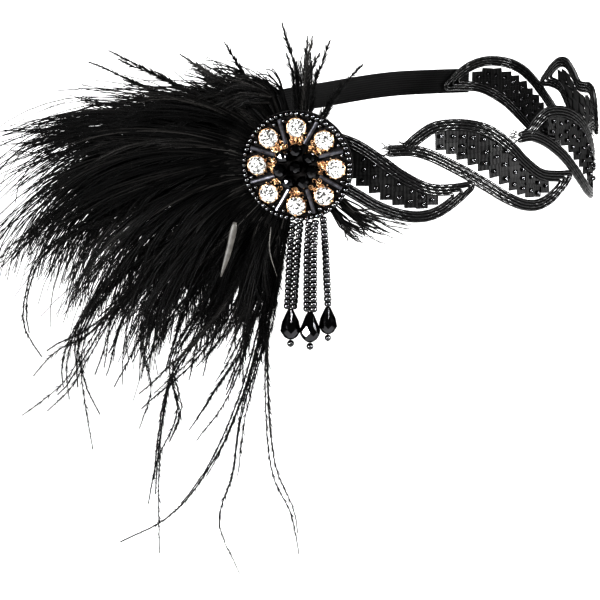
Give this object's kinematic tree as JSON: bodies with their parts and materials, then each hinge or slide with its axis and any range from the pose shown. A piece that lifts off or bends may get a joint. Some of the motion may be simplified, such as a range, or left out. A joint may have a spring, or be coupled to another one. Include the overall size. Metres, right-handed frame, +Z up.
{
  "type": "flapper feather headband",
  "caption": "Loop headband of corded sequin trim and elastic with a round rhinestone brooch, bead tassels and a black ostrich plume at one side.",
  "frame": {"origin": "middle of the loop, where a head sits, at the height of the trim's middle line", "axes": "+Z up as worn, -Y towards the side that carries the brooch, +X away from the plume"},
  "size_m": [0.2475, 0.1809, 0.228],
  "materials": {
    "cord": "black satin cord",
    "sequin": "dark square sequins, semi-gloss",
    "elastic": "flat ribbed elastic, matt",
    "felt": "black felt",
    "jet_bead": "opaque black glass, glossy",
    "bugle": "opaque dark glass with a metallic lustre",
    "rhinestone": "clear cut stone with a bright foil back",
    "setting": "pale gold plate, polished",
    "feather": "black ostrich feather"
  },
  "bodies": {
    "root": {"lace_leaf_1": "cord", "lace_leaf_2": "cord", "lace_leaf_3": "cord", "lace_leaf_4": "cord", "lace_leaf_5": "cord", "lace_fill_1": "sequin", "lace_fill_2": "sequin", "lace_fill_3": "sequin", "lace_fill_4": "sequin", "lace_fill_5": "sequin", "elastic_band": "elastic", "brooch_backing": "felt", "brooch_rim": "jet_bead", "rhinestone_1": "rhinestone", "rhinestone_2": "rhinestone", "rhinestone_3": "rhinestone", "rhinestone_4": "rhinestone", "rhinestone_5": "rhinestone", "rhinestone_6": "rhinestone", "rhinestone_7": "rhinestone", "rhinestone_8": "rhinestone", "bugle_bead_1": "bugle", "bugle_bead_2": "bugle", "bugle_bead_3": "bugle", "bugle_bead_4": "bugle", "bugle_bead_5": "bugle", "bugle_bead_6": "bugle", "bugle_bead_7": "bugle", "bugle_bead_8": "bugle", "centre_bead_1": "jet_bead", "centre_bead_2": "jet_bead", "centre_bead_3": "jet_bead", "centre_bead_4": "jet_bead", "centre_bead_5": "jet_bead", "centre_bead_6": "jet_bead", "centre_bead_7": "jet_bead", "centre_bead_8": "jet_bead", "tassel_strand_1": "jet_bead", "tassel_strand_2": "jet_bead", "tassel_strand_3": "jet_bead", "tassel_strand_4": "jet_bead", "tassel_strand_5": "jet_bead", "drop_bead_1": "jet_bead", "drop_bead_2": "jet_bead", "drop_bead_3": "jet_bead", "tip_bead_1": "jet_bead", "tip_bead_2": "jet_bead", "tip_bead_3": "jet_bead", "feather_plume": "feather"}
  },
  "joints": []
}
